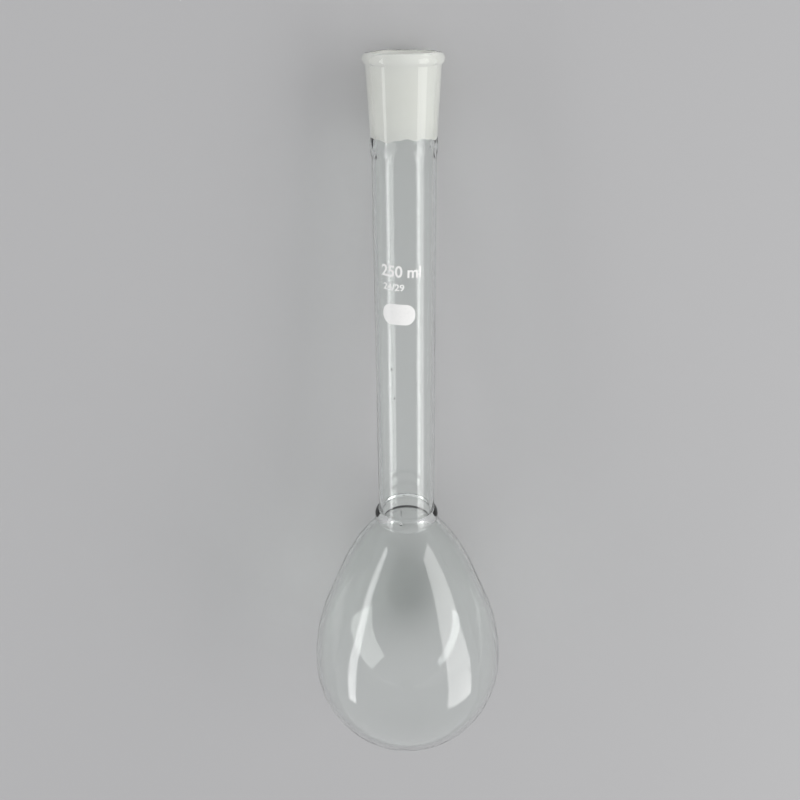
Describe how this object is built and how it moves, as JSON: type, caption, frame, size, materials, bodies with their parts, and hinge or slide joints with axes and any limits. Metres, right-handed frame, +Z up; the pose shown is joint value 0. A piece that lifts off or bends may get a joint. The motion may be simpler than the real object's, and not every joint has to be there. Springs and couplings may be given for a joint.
{
  "type": "kjeldahl flask",
  "caption": "Clear borosilicate digestion flask: pear-shaped bulb with a round bottom, a long straight neck and a frosted ground socket with a beaded mouth.",
  "frame": {"origin": "on the table under the middle of the flask, which lies on its side", "axes": "+Y towards the mouth, +Z up from the table, +X to the right of the neck; the flask's own axis falls 6.2 degrees towards the mouth, because the bulb is thicker than the mouth"},
  "size_m": [0.086, 0.3098, 0.0862],
  "materials": {
    "clear_glass": "clear and smooth, fire-polished at the mouth, ground to a fine frost inside the socket",
    "white_enamel": "white enamel print, fired on, slightly glossy"
  },
  "bodies": {
    "root": {"flask": "clear_glass"}
  },
  "joints": []
}
